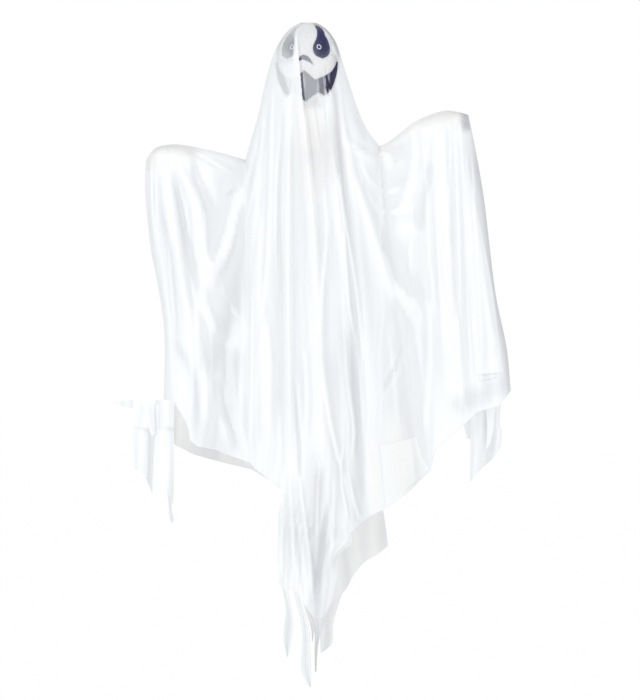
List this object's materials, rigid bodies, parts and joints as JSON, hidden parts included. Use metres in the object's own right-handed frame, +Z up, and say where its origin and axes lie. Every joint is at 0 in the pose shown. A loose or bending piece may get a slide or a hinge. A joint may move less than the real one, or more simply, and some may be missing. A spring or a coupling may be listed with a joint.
{
  "type": "hanging ghost decoration",
  "caption": "Hanging ghost: egg-shaped head with a printed face, posable forearms and a long sheer gown draped over them to a ragged hem.",
  "frame": {"origin": "bearing point of the hanging eye, at the top inside of its ring in the crown of the head", "axes": "+X to the right of the picture, the ghost faces -Y, +Z up"},
  "size_m": [0.7231, 0.2602, 1.2026],
  "materials": {
    "head_plastic": "moulded, glossy white",
    "fitting_plastic": "moulded, satin",
    "pale_foam": "cream foamed plastic",
    "zinc_steel": "zinc plated",
    "face_print": "printed near-black film",
    "sheer_cloth": "thin white woven voile"
  },
  "bodies": {
    "root": {"hanger_rod": "zinc_steel", "stop_collar": "zinc_steel", "neck_tube": "pale_foam", "shoulder_yoke": "fitting_plastic", "chest_tube": "pale_foam", "rod_washer": "zinc_steel", "rod_nut": "zinc_steel", "left_elbow_screw": "zinc_steel", "left_elbow_nut": "zinc_steel", "right_elbow_screw": "zinc_steel", "right_elbow_nut": "zinc_steel", "drape_front_centre": "sheer_cloth", "drape_back_centre": "sheer_cloth", "drape_left_wing": "sheer_cloth", "drape_right_wing": "sheer_cloth", "front_tongue": "sheer_cloth", "back_tongue": "sheer_cloth", "left_corner_flap": "sheer_cloth", "left_tail": "sheer_cloth", "right_tail": "sheer_cloth", "streamer_1": "sheer_cloth", "streamer_2": "sheer_cloth", "streamer_3": "sheer_cloth", "streamer_4": "sheer_cloth", "streamer_5": "sheer_cloth"},
    "head": {"head_front_shell": "head_plastic", "head_rear_shell": "head_plastic", "crown_bush": "fitting_plastic", "neck_plug": "fitting_plastic", "left_eye_film": "face_print", "right_eye_film": "face_print", "nose_film": "face_print", "mouth_film": "face_print"},
    "left_forearm": {"left_forearm_link": "fitting_plastic", "left_forearm_sleeve": "pale_foam", "left_hand": "pale_foam"},
    "right_forearm": {"right_forearm_link": "fitting_plastic", "right_forearm_sleeve": "pale_foam", "right_hand": "pale_foam"}
  },
  "joints": [
    {"name": "head_turn", "type": "hinge", "parent": "root", "child": "head", "pos_m": [0, 0, 0], "axis": [0, 0, 1], "range_deg": [-30, 30]},
    {"name": "left_elbow", "type": "hinge", "parent": "root", "child": "left_forearm", "pos_m": [-0.109, 0, -0.257], "axis": [0, 1, 0], "range_deg": [-13, 20], "deforming": ["drape_left_wing", "left_corner_flap", "left_tail", "drape_front_centre"]},
    {"name": "right_elbow", "type": "hinge", "parent": "root", "child": "right_forearm", "pos_m": [0.109, 0, -0.257], "axis": [0, -1, 0], "range_deg": [-37, 8], "deforming": ["drape_right_wing", "right_tail", "drape_back_centre"]}
  ]
}
